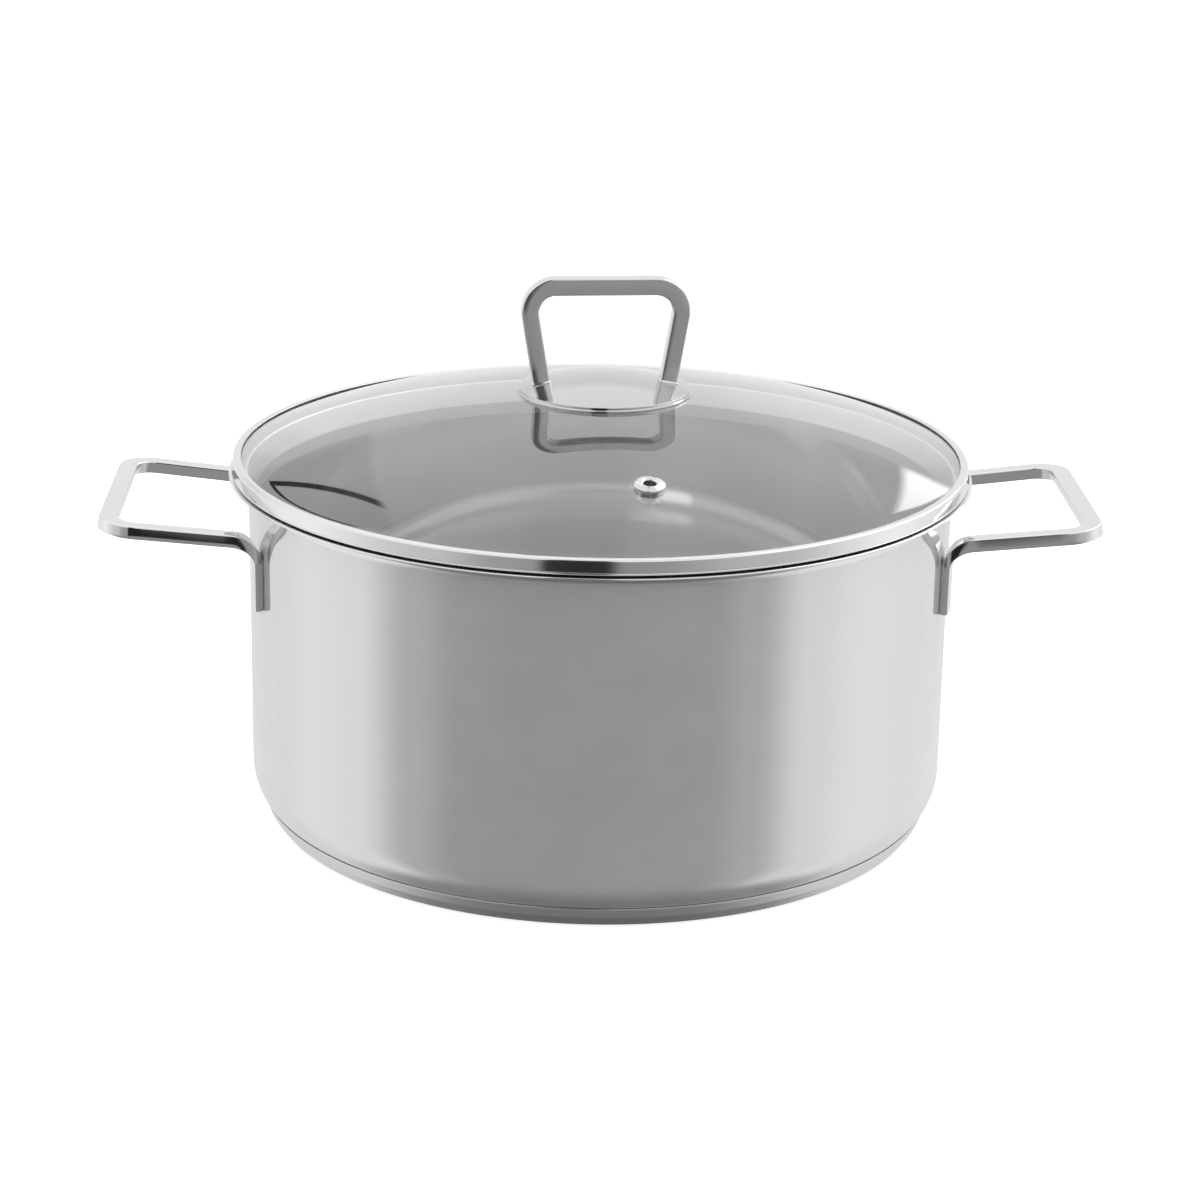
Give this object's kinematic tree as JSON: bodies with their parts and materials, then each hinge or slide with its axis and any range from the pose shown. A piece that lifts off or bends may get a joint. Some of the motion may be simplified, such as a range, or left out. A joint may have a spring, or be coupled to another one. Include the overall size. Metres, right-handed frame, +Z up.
{
  "type": "stock pot",
  "caption": "Round stainless steel pot with two bent-bar side handles, a capsule base and a domed glass lid with a steel bail handle and a steam vent.",
  "frame": {"origin": "centre of the base's flat underside, which is also the centre of the bounding box's bottom", "axes": "+Z up along the pot's axis, +X towards the right side handle, +Y towards the back"},
  "size_m": [0.3384, 0.255, 0.1883],
  "materials": {
    "polished_steel": "near-mirror polished stainless steel",
    "satin_steel": "satin stainless steel with a fine grain",
    "plain_steel": "plain turned stainless steel",
    "aluminium": "raw rolled aluminium",
    "clear_glass": "clear toughened glass",
    "silicone": "translucent grey silicone"
  },
  "bodies": {
    "pot": {"pot_shell": "polished_steel", "base_heat_disc": "aluminium", "base_cap": "satin_steel", "side_handle_left": "polished_steel", "side_handle_right": "polished_steel"},
    "lid_carrier": {"lid_rim_seal": "silicone"},
    "lid": {"lid_rim_band": "polished_steel", "lid_glass": "clear_glass", "lid_handle": "satin_steel", "lid_handle_plate": "polished_steel", "lid_handle_boss": "plain_steel", "lid_handle_gasket_upper": "silicone", "lid_handle_gasket_lower": "silicone", "lid_handle_washer": "plain_steel", "lid_handle_screw": "plain_steel", "vent_eyelet": "polished_steel", "vent_seal": "silicone"}
  },
  "joints": [
    {"name": "lid_lift", "type": "slide", "parent": "pot", "child": "lid_carrier", "axis": [0, 0, 1], "range_m": [0, 0.09]},
    {"name": "lid_turn", "type": "hinge", "parent": "lid_carrier", "child": "lid", "pos_m": [0, 0, 0.122], "axis": [0, 0, 1], "continuous": true}
  ]
}
